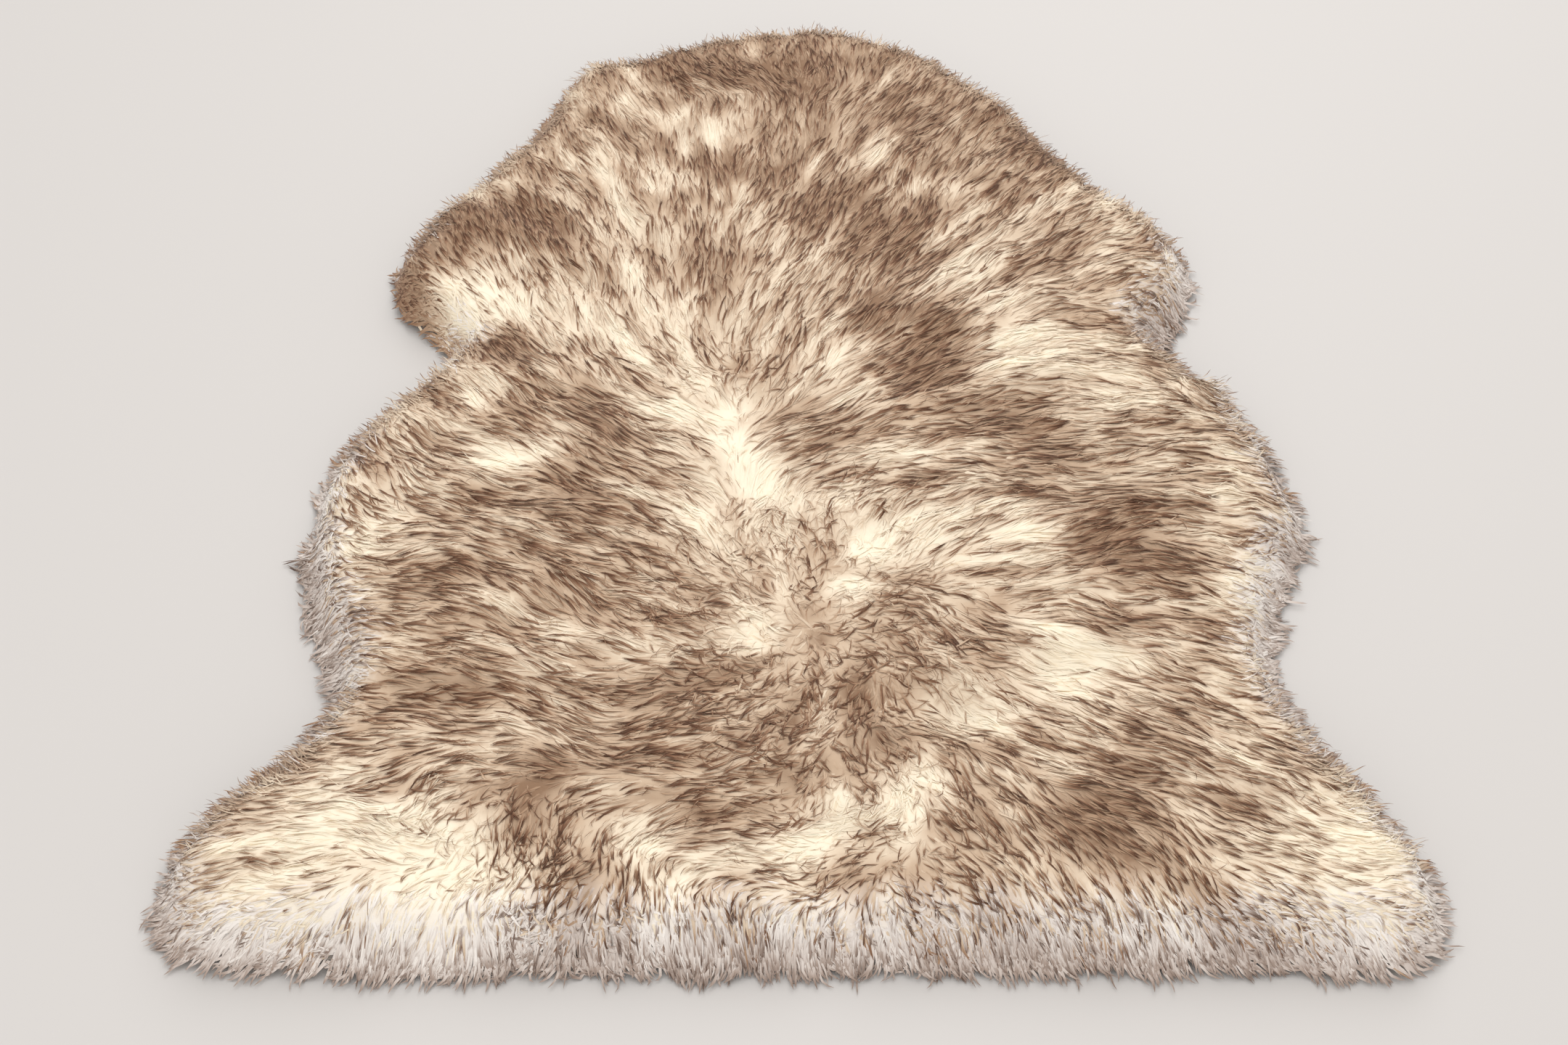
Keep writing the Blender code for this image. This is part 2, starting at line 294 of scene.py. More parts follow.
# %% Patches of the wool
TONES = [  # x, y, reach, percent darker + or lighter -
    # neck
    (-85, 425, 32, 60), (-125, 408, 24, 30), (-10, 402, 32, 55), (-52, 395, 24, 35), (12, 375, 22, 40),
    (-35, 437, 13, -35), (50, 440, 36, 30), (105, 415, 30, 20), (88, 352, 26, 60), (138, 372, 22, 30),
    (208, 292, 26, 75), (180, 328, 22, 40), (60, 307, 24, -25), (-60, 335, 36, -15), (-140, 350, 34, -12),
    (-136, 318, 15, 40), (-40, 270, 20, 55), (-62, 275, 15, 35), (-8, 275, 15, 35), (-145, 247, 28, -15),
    (-175, 385, 24, 20), (-198, 345, 24, 22), (120, 430, 24, 20), (160, 395, 24, 20), (0, 465, 30, 20),
    (15, 325, 18, 50), (-122, 298, 15, 50), (48, 408, 16, 40), (-140, 325, 13, 35), (-75, 223, 14, 35),
    (214, 273, 14, 30),
    # left shoulder and foreleg
    (-292, 190, 24, 45), (-256, 198, 22, 58), (-220, 195, 22, 60), (-188, 184, 20, 55),
    (-316, 132, 20, 42), (-322, 158, 20, 30), (-248, 112, 22, -50), (-280, 92, 20, -35),
    (-240, 136, 14, -30), (-125, 80, 27, -30), (-162, 58, 20, -20), (-90, 62, 18, -20),
    (-230, 46, 20, 50), (-130, 205, 24, -10), (-228, 88, 15, -50), (-200, 105, 13, -40),
    (-282, 40, 15, -60), (-195, 18, 14, -35),
    # right shoulder and foreleg
    (28, 222, 21, 80), (60, 190, 23, 40), (112, 200, 21, 40), (88, 218, 16, 25), (130, 240, 17, -30),
    (165, 252, 18, 25), (130, 282, 16, 20), (126, 175, 15, -25), (140, 122, 18, -35), (80, 150, 24, 40),
    (60, 80, 19, 55), (107, 72, 18, 55), (102, 36, 18, 55), (97, 5, 16, 50), (140, 96, 16, 30),
    (165, 60, 30, -50), (190, 30, 20, -20), (250, 76, 13, 15), (290, 60, 13, 20), (10, 82, 26, -15),
    (250, 38, 18, -40), (165, -2, 15, -35),
    # back
    (-80, 150, 22, 28), (-40, 112, 22, 22), (-28, 150, 18, 15), (-42, 28, 12, 40), (5, -55, 20, 32),
    (30, -50, 16, 15), (-95, -22, 17, -40), (-48, -18, 12, -60), (-46, -50, 12, -60), (-34, -86, 15, -60),
    (-68, -128, 16, -60), (-20, -104, 14, -50), (-30, -152, 16, -40), (-30, -188, 13, -25),
    (47, -160, 15, -85), (35, -205, 13, -60), (100, -142, 16, -60), (155, -150, 16, -75),
    (178, -174, 14, -55), (-30, -250, 13, -55), (85, -70, 13, -30), (30, -5, 17, -20),
    (-30, 175, 14, -30), (118, -103, 13, -40), (170, -120, 12, 45), (-95, -65, 13, -40),
    (-94, -104, 12, 40), (-78, -195, 14, -25), (-15, 40, 14, -25), (10, -122, 15, -30),
    # left waist and belly
    (-240, -6, 13, -40), (-215, -38, 16, 35), (-190, -15, 16, 25), (-160, -30, 17, 30),
    (-130, -50, 22, 45), (-205, -72, 14, -55), (-180, -61, 13, -50), (-230, -76, 12, -30),
    (-155, -116, 20, 32), (-165, -142, 20, 25), (-246, -200, 15, 15), (-255, -238, 14, 10),
    (-165, -270, 15, -15), (-268, -308, 18, 5), (-218, -300, 17, 28), (-295, -262, 15, -15),
    (-305, -150, 18, -35), (-80, -236, 15, 22), (-60, -290, 18, 20), (-100, -330, 20, 30),
    (-60, -342, 17, 20), (-310, -180, 15, -45), (-280, -105, 16, -35), (-188, -82, 12, -35),
    (-138, -262, 13, 35), (-145, -342, 12, -25), (-108, -374, 13, 40), (-233, -24, 14, -30),
    (-258, -177, 13, -25), (-153, -212, 14, -25), (-237, -263, 13, 35), (-110, -44, 13, -30),
    # right waist and belly
    (165, -60, 26, 38), (190, -82, 18, 32), (130, -40, 16, 15), (170, -15, 16, 20), (225, -12, 22, -25),
    (215, -160, 18, 55), (252, -142, 17, 20), (280, -126, 14, 30), (270, -190, 17, 35),
    (240, -184, 15, 25), (300, -215, 17, -25), (166, -245, 16, -40), (183, -278, 20, -75),
    (118, -325, 15, -60), (110, -356, 13, 32), (75, -215, 15, 20), (115, -236, 12, 18),
    (255, -332, 14, 15), (214, -62, 12, -35), (265, -83, 14, -30), (136, -228, 11, 35),
    (120, -280, 15, 40), (280, -296, 15, -30), (226, -326, 12, -20), (202, -44, 13, -25),
    (245, -263, 15, -30), (176, -344, 14, -30), (95, -312, 12, -25), (313, -122, 15, -35),
    # small of the back
    (20, -242, 14, 20), (30, -300, 20, 20), (0, -330, 18, 28), (0, -376, 13, 50), (32, -350, 15, 20),
    (62, -342, 14, 20), (-55, -368, 12, -22), (-62, -402, 13, 50),
    # left haunch
    (-102, -422, 15, -85), (-155, -370, 17, 38), (-170, -402, 20, 45), (-190, -388, 15, 25),
    (-155, -440, 20, 5), (-135, -470, 20, 20), (-240, -345, 20, -20), (-295, -400, 27, -45),
    (-245, -425, 26, -50), (-215, -470, 30, -65), (-250, -490, 26, -45), (-320, -460, 32, -35),
    (-347, -450, 22, -25), (-80, -470, 26, -30), (-192, -359, 14, -30), (-259, -389, 14, 35),
    # right haunch
    (185, -418, 18, 62), (205, -395, 16, 42), (215, -440, 17, 28), (250, -450, 16, 25),
    (268, -405, 12, 30), (215, -352, 12, 38), (330, -470, 60, -25), (290, -505, 20, 20),
    (140, -470, 28, -15), (295, -435, 18, -40), (100, -460, 13, -30), (268, -374, 16, -30),
    (354, -419, 18, -35),
    # rump
    (0, -425, 17, -85), (25, -395, 12, -50), (27, -450, 12, 42), (44, -389, 12, -25),
    (-36, -433, 11, -20), (65, -412, 13, -70), (82, -380, 13, -42), (62, -462, 13, 20),
    (115, -415, 20, 15), (-20, -480, 14, -10), (-38, -460, 14, 35),
]
TICKED = [  # pale places whose tips are brown: x, y, reach, percent browner
    (-290, -450, 80, 18), (-200, -480, 60, 25), (-60, -510, 60, 35), (60, -520, 60, 35),
    (330, -480, 80, 26), (220, -520, 60, 35), (-315, -140, 40, 30), (-262, 100, 40, 15),
    (-145, -465, 30, 18),
]
print("patches of tone:", len(TONES), "and ticked places:", len(TICKED))

# %% [markdown]
# ### Noise for the wool
# Real wool is uneven at every scale, so smooth random maps are laid over the patches: clouds of 80 and 30
# mm, and streaks, because neighbours along the comb belong to one lock and share its colour. On the neck
# the wool stands in shorter tufts, which get a noise of their own. Each noise has a seed, so it is the
# same every time.

# %% Helpers for tone maps
NOISE_LENGTH, NOISE_WIDTH = 1.4, 1.2  # metres, a little more than the map has


def mottle(size, seed):
    """A map of smooth random values about 0, with patches of a size in metres."""
    shape = (int(NOISE_LENGTH / size) + 3, int(NOISE_WIDTH / size) + 3)
    cells = np.random.default_rng(seed).normal(0, 1, shape)
    u, v = (grid_x - map_x[0]) / size, (grid_y - map_y[0]) / size
    i, j = u.astype(int), v.astype(int)
    a, b = u - i, v - j
    return blended(cells, i, j, a * a * (3 - 2 * a), b * b * (3 - 2 * b))


def streaked(field, length):
    """A map drawn out along the combing directions, so that its patches become streaks of that length."""
    total = field * 0
    for share in np.linspace(-0.5, 0.5, 11):
        ahead = share * length
        total += read_map(field, np.dstack([grid_x + ahead * comb_x, grid_y + ahead * comb_y]))
    return total / 11


def spot(x, y, reach):
    """A map of one soft round spot, given in mm, that is 1 in its middle."""
    return np.exp(-((grid_x - x / 1000) ** 2 + (grid_y - y / 1000) ** 2) / (2 * (reach / 1000) ** 2))


def patched(field, rows, strength):
    """The map with soft round patches laid over it."""
    for x, y, reach, percent in rows:
        field = field + strength * (percent / 100) * spot(x, y, reach)
    return field


def ramp(field, start, length):
    """A map that goes from 0 to 1 as another goes on from its start for a length."""
    return np.clip((field - start) / length, 0, 1)


# %% [markdown]
# ### The tone maps
# The maps are put together here. The rim's wool is greyer and paler than the top's, except at the neck,
# on the left foreleg and where the rim faces away. Close to the floor, the rim's steep sides are painted
# darker, as shade for wool that gets less light. The map for the tips adds the ticked places, and takes
# some brown off the neck's tips.

# %% Tone maps
PATCH_STRENGTH = 0.85
GREY_REACH = 0.038  # metres over which the grey of the rim fades inwards
SPARED_FORELEG = (-305, 125, 55)  # x, y and reach in mm

streaks = streaked(mottle(0.010, 13), 0.045)
streaks /= streaks.std()
tone_map = 0.50 + 0.02 * mottle(0.080, 11) + 0.05 * mottle(0.030, 12) + 0.14 * streaks
on_neck = ramp(grid_y, 0.14, 0.10)
tufted = streaked(mottle(0.011, 17), 0.020)
tone_map += 0.15 * on_neck * np.clip(tufted / tufted.std(), -0.8, 2.5)
tone_map = patched(tone_map, TONES, PATCH_STRENGTH)

greyed = np.clip(1.15 + (outside - 0.006 * np.abs(mottle(0.020, 15))) / GREY_REACH, 0, 1)
greyed *= np.clip((0.26 - grid_y) / 0.08, 0, 1)
greyed *= 1 - spot(*SPARED_FORELEG)
greyed *= 1 - 0.8 * np.clip(2.5 * out_y - 0.4, 0, 1)
tone_map -= 0.12 * greyed
# painted shade: the near and far sides of the rim darken towards the floor
painted_rim_shade = np.where(out_y > 0, 0.25, 0.30) * np.abs(out_y)
tone_map += painted_rim_shade * np.clip(1 + outside / 0.020, 0, 1) ** 1.5
tip_map = patched(tone_map, TICKED, 1.0) + 0.10 * greyed - 0.16 * ramp(grid_y, 0.20, 0.10)
print("tone from", round(float(tone_map[covered].min()), 2), "to", round(float(tone_map[covered].max()), 2))

# %% [markdown]
# ## Materials
# Colours are written as sRGB hex values, as a colour picker gives them, and turned to the linear values
# that the shader works in. One helper adds any node, with its settings, its values and its links, and the
# others build on it.

# %% Helpers for materials
def colour(hex_value):
    """An sRGB hex colour as linear red, green, blue and 1."""
    parts = [int(hex_value[k:k + 2], 16) / 255 for k in (1, 3, 5)]
    return [p / 12.92 if p <= 0.04045 else ((p + 0.055) / 1.055) ** 2.4 for p in parts] + [1.0]


def add(tree, kind, inputs=None, **settings):
    """Adds a node with its settings, and with its inputs' values or links."""
    node = tree.nodes.new(kind)
    for name, value in settings.items():
        setattr(node, name, value)
    for key, value in (inputs or {}).items():
        if isinstance(value, bpy.types.NodeSocket):
            tree.links.new(value, node.inputs[key])
        else:
            node.inputs[key].default_value = value
    return node


def coloured(tree, value, stops):
    """A colour that follows a value along its stops, of which the two ends come first."""
    node = add(tree, "ShaderNodeValToRGB", {0: value})
    dots = node.color_ramp.elements
    for k, (place, hex_value) in enumerate(stops):
        dot = dots[k] if k < 2 else dots.new(place)
        dot.position, dot.color = place, colour(hex_value)
    return node.outputs[0]


def mixed(tree, share, first, second):
    """The colour that lies a share of the way from the first to the second."""
    return add(tree, "ShaderNodeMix", {0: share, 6: first, 7: second}, data_type="RGBA").outputs[2]


def new_material(name):
    """An empty node material and its tree, with only the output left."""
    material = bpy.data.materials.new(name)
    material.use_nodes = True
    tree = material.node_tree
    tree.nodes.clear()
    return material, tree, tree.nodes.new("ShaderNodeOutputMaterial")


def noise(tree, size, detail):
    """A noise that lies still on the object, with clots of a size in metres."""
    place = add(tree, "ShaderNodeTexCoord")
    inputs = {"Vector": place.outputs["Object"], "Scale": 1 / size, "Detail": detail}
    return add(tree, "ShaderNodeTexNoise", inputs).outputs[0]


def bumps(tree, height, strength, deep):
    """Normals that follow a height, for bumps that are so many metres deep."""
    inputs = {"Height": height, "Strength": strength, "Distance": deep}
    return add(tree, "ShaderNodeBump", inputs).outputs[0]


def surface(tree, output, inputs):
    """Ends a material with a surface that has these inputs."""
    shader = add(tree, "ShaderNodeBsdfPrincipled", inputs)
    tree.links.new(shader.outputs[0], output.inputs["Surface"])


# %% [markdown]
# ### The long wool
# Each fibre is pale at the root and takes its colour towards the tip. A strand's UV map carries both
# facts: across is how tanned the fleece is there, and up is how brown the fibre has become at that point
# of its length. One small drawing of colour by those two numbers then serves every strand, and follows it
# round every bend. At its root a strand has the same colour as the under-wool below it, so it grows out
# of it with no visible start. Wool is a rough scaly fibre: it has no clear highlight, only a soft sheen.

# %% Wool materials
FLEECE = [(0.0, "#FBF0DA"), (1.0, "#8F725B"), (0.3, "#EBDAC3"), (0.6, "#CAB198")]
GREYED = [(0.0, "#FAF4EE"), (1.0, "#C4B6AD"), (0.3, "#F3ECE6"), (0.6, "#E2D8D1")]


def wool_material(name, fleece, tips):
    """Wool that goes from the fleece's colour to a tip's colour."""
    material, tree, output = new_material(name)
    strand_uv = add(tree, "ShaderNodeUVMap", uv_map="OFBake")
    strand = add(tree, "ShaderNodeSeparateXYZ", {0: strand_uv.outputs["UV"]})
    fleece_colour = coloured(tree, strand.outputs["X"], fleece)
    tip_colour = coloured(tree, strand.outputs["Y"], tips)
    tipped = add(tree, "ShaderNodeMapRange",
                 {"Value": strand.outputs["Y"], "From Min": 0.04, "From Max": 0.42})
    fibre = mixed(tree, tipped.outputs[0], fleece_colour, tip_colour)
    surface(tree, output, {"Base Color": fibre, "Roughness": 0.72, "Sheen Weight": 0.10,
                           "Sheen Roughness": 0.5, "Specular IOR Level": 0.2})
    return material


wool = wool_material("brushed sheep's wool", FLEECE,
                     [(0.2, "#BE9F83"), (1.0, "#503424"), (0.45, "#99775E"), (0.75, "#714E39")])
rim_wool = wool_material("greyed wool of the rim", GREYED,
                         [(0.2, "#D3C7BF"), (1.0, "#604A3E"), (0.5, "#AB998E")])

# %% [markdown]
# ### The under-wool
# Below the long locks lies a dense mat of short wool, so thick that it looks like one soft surface. It is
# nearly white where the wool parts and tan where the tips above are dark, so its colour follows the tone
# map, which the mat carries as an attribute. On the rim's low sides that map also holds painted shade. A
# noise adds clots of 10 mm, and a finer one the bumps of single tufts.

# %% Under-wool material
mat_of_wool, tree, output = new_material("dense pale under-wool")
shade = add(tree, "ShaderNodeAttribute", attribute_name="tone")
clotted = add(tree, "ShaderNodeMath", {0: noise(tree, 0.010, 4.0), 1: 0.2, 2: shade.outputs["Fac"]},
              operation="MULTIPLY_ADD")
centred = add(tree, "ShaderNodeMath", {0: clotted.outputs[0], 1: 0.1}, operation="SUBTRACT")
at_rim = add(tree, "ShaderNodeAttribute", attribute_name="greyed")
cream, grey = [coloured(tree, centred.outputs[0], stops) for stops in (FLEECE, GREYED)]
mat_colour = mixed(tree, at_rim.outputs["Fac"], cream, grey)
surface(tree, output, {"Base Color": mat_colour, "Roughness": 0.9, "Specular IOR Level": 0.2,
                       "Normal": bumps(tree, noise(tree, 0.004, 3.0), 0.25, 0.0015)})

# %% [markdown]
# ### The hide
# The flesh side of a tanned skin is suede: a short nap, matt, straw coloured, with paler and darker
# clouds where the skin was thicker or thinner.

# %% Suede material
suede, tree, output = new_material("tanned suede hide")
straw = coloured(tree, noise(tree, 0.090, 5.0), [(0.3, "#C5A983"), (0.75, "#E0CCA9"), (0.5, "#D3B98F")])
surface(tree, output, {"Base Color": straw, "Roughness": 0.88, "Sheen Weight": 0.1,
                       "Normal": bumps(tree, noise(tree, 0.0025, 4.0), 0.4, 0.0006)})

# %% [markdown]
# ## The hide as a sheet
# The skin is a thin sheet that lies flat and stops short of the wool's reach. A grid is laid down at the
# rug's size, the faces outside the hide's edge are deleted, its stepped edge is smoothed, and the sheet
# is given a thickness of 2.5 mm. Drawing the edge by hand would only repeat what the map already knows.

# %% A grid that is cut to the rug's shape
HIDE_INSET = 0.026
HIDE_THICK = 0.0025


def cut_grid(name, cell, inset, height):
    """A flat grid of square cells, cut to the rug's outline less an inset, with a smoothed edge."""
    bpy.ops.object.select_all(action="DESELECT")
    wide, long = rug_high.x - rug_low.x, rug_high.y - rug_low.y
    bpy.ops.mesh.primitive_grid_add(x_subdivisions=round(wide / cell), y_subdivisions=round(long / cell),
                                    size=1, location=(0, 0, height))
    piece = bpy.context.object
    piece.name = piece.data.name = name
    piece.scale = (wide, long, 1)
    bpy.ops.object.transform_apply(location=True, rotation=True, scale=True)
    centres = np.array([face.center for face in piece.data.polygons])
    cut_away = read_map(outside, centres) > -inset
    bpy.context.tool_settings.mesh_select_mode = (False, False, True)
    piece.data.vertices.foreach_set("select", np.zeros(len(piece.data.vertices), bool))
    piece.data.edges.foreach_set("select", np.zeros(len(piece.data.edges), bool))
    piece.data.polygons.foreach_set("select", cut_away)
    bpy.ops.object.mode_set(mode="EDIT")
    bpy.ops.mesh.delete(type="FACE")
    bpy.ops.mesh.select_all(action="SELECT")
    bpy.ops.mesh.region_to_loop()
    bpy.ops.mesh.vertices_smooth(factor=0.5, repeat=12)
    bpy.ops.object.mode_set(mode="OBJECT")
    return piece


def finish_piece(piece, material):
    """Gives a piece its material and slot, and lets it ride on the rug's one body in place of the solid."""
    piece.data.materials.clear()
    piece.data.materials.append(material)
    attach(piece, "root")
    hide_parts("sheepskin")


hide = cut_grid("hide", 0.012, HIDE_INSET, HIDE_THICK)
thicken = hide.modifiers.new("thickness", "SOLIDIFY")
thicken.thickness = HIDE_THICK
thicken.offset = -1
bpy.ops.object.modifier_apply(modifier="thickness")
finish_piece(hide, suede)
hide_area = sum(face.area for face in hide.data.polygons if face.normal.z > 0.9)
print("hide:", len(hide.data.polygons), "faces,", round(hide_area, 3), "m2 on top")

# %% [markdown]
# ## The under-wool mat
# The mat is cut from a grid in the same way, drawn up from the hide, and its top is moved to a share of
# the wool's height, with lumps the size of a finger tip. Its sides go down to the hide, so it is closed
# all round.

# %% Under-wool mat
MAT_SHARE = 0.965
MAT_INSET = 0.005
MAT_LIFT = 0.002  # how far the top is drawn up from the hide before it takes its shape
MAT_EDGE = 0.009  # metres over which the mat's edge rounds up to its height
lumps = (0.0012 * mottle(0.018, 21) + 0.0006 * mottle(0.009, 22)) * np.clip(-outside / 0.04, 0, 1)
wool_top = pile_top + lumps

under_wool = cut_grid("under_wool", 0.006, MAT_INSET, HIDE_THICK)
bpy.ops.object.mode_set(mode="EDIT")
bpy.ops.mesh.select_all(action="SELECT")
bpy.ops.mesh.extrude_region_move(TRANSFORM_OT_translate={"value": (0, 0, MAT_LIFT)})
bpy.ops.object.mode_set(mode="OBJECT")
places = np.array([corner.co for corner in under_wool.data.vertices])
lifted = places[:, 2] > HIDE_THICK + MAT_LIFT / 2
shape = MAT_SHARE * read_map(wool_top, places)
from_edge = 0.001 - MAT_INSET - read_map(outside, places)
from_edge = np.clip(from_edge / MAT_EDGE, 0, 1)
shape *= np.sqrt(from_edge * (2 - from_edge))
places[lifted, 2] = np.maximum(shape[lifted], HIDE_THICK + 0.003)
under_wool.data.vertices.foreach_set("co", places.ravel())
bpy.ops.object.mode_set(mode="EDIT")
bpy.ops.mesh.select_all(action="SELECT")
bpy.ops.mesh.normals_make_consistent(inside=False)
bpy.ops.object.mode_set(mode="OBJECT")
under_wool.data.shade_smooth()
for name, field in (("tone", tone_map), ("greyed", greyed)):
    values = under_wool.data.attributes.new(name, "FLOAT", "POINT")
    values.data.foreach_set("value", np.clip(read_map(field, places), 0, 1).astype(np.float32))
finish_piece(under_wool, mat_of_wool)
print("under-wool:", len(under_wool.data.polygons), "faces, top at",
      round(1000 * float(places[:, 2].max())), "mm")

# %% [markdown]
# ## Laying out the wool
# Wool doesn't hang as single hairs: its natural grease and crimp draw it into locks whose tips meet in a
# point. Only the upper part of each lock shows, so each line starts in the under-wool, follows the
# combing directions and rises to the top of the pile. Near the rim the pile gets lower, so the lines come
# down with it to the floor. In some places the wool curls, and a table names them. A line of wool is five
# points here, which is enough for one bend. Neighbours share a slow sway, so that they run side by side
# as brushed wool does.

# %% Lines that follow the comb
ALONG = np.array([0.0, 0.30, 0.58, 0.82, 1.0])  # the places along a line where it is measured
CURLS = [  # x, y, reach in mm, degrees of curl
    (-10, -215, 70, 45), (15, -300, 60, 50), (-60, 20, 40, 40), (-40, 400, 40, 30), (55, -430, 45, 45),
    (20, -165, 32, 45), (-190, -420, 40, 50), (-145, -480, 30, 40), (330, 130, 40, 60),
    (-340, -170, 50, 40),
]
LEAST_CURL = 14  # degrees
curliness = LEAST_CURL + grid_x * 0
for x, y, reach, degrees in CURLS:
    curliness += degrees * spot(x, y, reach)
coarseness = 1 - 0.45 * np.clip((-0.33 - grid_y) / 0.10, 0, 1) - 0.15 * ramp(grid_y, 0.20, 0.10)
sway = 0.20 * mottle(0.028, 31) + 0.13 * mottle(0.013, 32)  # radians by which neighbours stray together
sway *= 0.5 + (curliness - LEAST_CURL) / 45 + 1.1 * (1 - coarseness)
chance = np.random.default_rng(5)
ROWS_APART = 0.866  # of the pitch, so that the places stand in even triangles
LEAST_DEPTH = 0.005  # metres from the rim


def scatter(pitch, deepest, overhang):
    """Places about a pitch apart, as far from the rim as wool that flows outwards there needs."""
    rows = np.arange(rug_low.y, rug_high.y, pitch * ROWS_APART)
    spots = np.array([(x + (r % 2) * pitch / 2, y) for r, y in enumerate(rows)
                      for x in np.arange(rug_low.x, rug_high.x, pitch)])
    spots += chance.uniform(-0.48, 0.48, spots.shape) * pitch
    outwards = read_map(out_x, spots) * read_map(comb_x, spots)
    outwards += read_map(out_y, spots) * read_map(comb_y, spots)
    depth = -read_map(outside, spots)
    return spots[(depth > LEAST_DEPTH + overhang * np.clip(outwards, 0, 1)) & (depth < deepest)]


def follow(starts, reach, stray, curl, outward, still):
    """Lines from their starts on the floor plan, each combed, straying and curling in its own way. Still
    lines keep to the comb of one spot and lie with their middles on it, so they also cover a parting."""
    points = [starts]
    for k in range(len(ALONG) - 1):
        here = starts if still else points[-1]
        ahead_x = read_map(comb_x, here) + outward * read_map(out_x, here)
        ahead_y = read_map(comb_y, here) + outward * read_map(out_y, here)
        heading = np.arctan2(ahead_y, ahead_x) + stray + read_map(sway, starts)
        heading += curl * (ALONG[k] + ALONG[k + 1]) ** 2 / 4
        step = (reach * (ALONG[k + 1] - ALONG[k]))[:, None]
        points.append(points[-1] + step * np.column_stack([np.cos(heading), np.sin(heading)]))
    lines = np.stack(points, axis=1)
    return lines - (lines[:, 2:3] - lines[:, :1]) if still else lines


def keep_inside(lines, overhang):
    """Slides lines back along the way out until their tips pass the rim by no more than the overhang."""
    tips = lines[:, -1]
    excess = np.clip(read_map(outside, tips) - overhang, 0, None)
    way_out = np.column_stack([read_map(out_x, tips), read_map(out_y, tips)])
    way_out /= np.linalg.norm(way_out, axis=1)[:, None] + 1e-9
    return lines - (excess[:, None] * way_out)[:, None, :]


def lay(pitch, reach, stray, curl_share, overhang=0.020, deepest=1.0, outward=0.0, past=(-0.002, 0.016),
        still=False):
    """A whole layer of combed lines: reach in metres, stray in radians, curl as a share of the curliness
    map. They start up to the deepest from the rim, turn outward by a share, and end past it by a range."""
    starts = scatter(pitch, deepest, overhang)
    n = len(starts)
    curl = chance.normal(0, 1, n) * np.radians(read_map(curliness, starts)) * curl_share
    reach = reach * chance.uniform(0.65, 1.25, n)
    reach *= 0.65 + 0.35 * np.clip(-read_map(outside, starts) / 0.12, 0, 1)  # shorter near the rim
    lines = follow(starts, reach, chance.normal(0, stray, n), curl, outward, still)
    return keep_inside(lines, chance.uniform(*past, n))


# %% [markdown]
# ### Tufts
# Lines that start near each other are drawn together into tufts, as combed wool is. A sparse layer of
# lines stands for the tufts. Each line of wool finds its nearest tuft, bends sideways towards that tuft's
# middle line, and can tell how far along the tuft it starts, which later shades it: tufts overlap like
# shingles.

# %% Helpers for tufts
HALF_TUFT = 0.011  # metres from a tuft's root to where it shades the wool fully


def way_of(lines):
    """The way each line goes on the floor plan, and the way sideways from it."""
    forward = lines[:, -1] - lines[:, 0]
    forward /= np.linalg.norm(forward, axis=1)[:, None] + 1e-9
    return forward, np.column_stack([-forward[:, 1], forward[:, 0]])


def tuft_of(lines, tufts):
    """For each line, which tuft stands nearest to its start."""
    nearest = np.empty(len(lines), int)
    for first in range(0, len(lines), 4000):
        apart = lines[first:first + 4000, None, 0] - tufts[None, :, 0]
        nearest[first:first + 4000] = (apart ** 2).sum(2).argmin(1)
    return nearest


def gathered(lines, tufts, pull, least=0.2):
    """Lines whose far ends are drawn sideways to the middle line of their tuft, less so near the rim."""
    middle = tufts[tuft_of(lines, tufts)]
    sideways = way_of(middle)[1]
    off = ((middle[:, -1] - lines[:, -1]) * sideways).sum(1)
    off *= np.clip(-read_map(outside, lines[:, 0]) / 0.10, least, 1)
    return lines + pull * (off[:, None] * ALONG ** 1.6)[:, :, None] * sideways[:, None, :]


def along_tuft(lines, tufts):
    """Where each line starts along its tuft, from -1 before the tuft's root to 1 beyond it."""
    mine = tufts[tuft_of(lines, tufts)]
    ahead = ((lines[:, 0] - mine[:, 0]) * way_of(mine)[0]).sum(1)
    return np.clip(ahead / HALF_TUFT, -1, 1)


def darkness(lines, low, high):
    """How brown a line's tip gets: 0 where the map of the tips is low there, and 1 where it is high."""
    return (read_map(tip_map, lines[:, 3]) - low) / (high - low)


# %% [markdown]
# ## From lines to strands
# A strand is a ribbon up to 3 mm wide that stands for a bundle of fibres too fine to draw. It has four
# parts and seven triangles, and narrows to a point. The strands of a lock start a few mm apart and draw
# together at its tip, and the middle ones are the darkest. A ribbon lies flat on the fleece with only a
# little twist, because wool is so dense that no dark gaps show between its fibres.
#
# Each layer of wool says how many strands a line stands for and how far apart they start, how wide they
# are, how dark their tips get, and how high each of the five points lies, as a share of the wool's
# height. At the rim, loft is the height in metres that a line springs from, and droop is the share of it
# that it loses.

# %% Strands of a layer
TAPER = np.array([0.8, 1.0, 0.9, 0.6])  # a strand's width at each point but the tip
LINE, TONE, BROWN = 0, 3, 4  # where these stand among what strands_of gives
WAVER = 0.0004  # metres by which strands of one line stray at their tips
LEAST_HEIGHT = 0.0012  # metres above the floor
ALL_BROWN = 0.82  # the share of its length where a strand is as brown as it gets


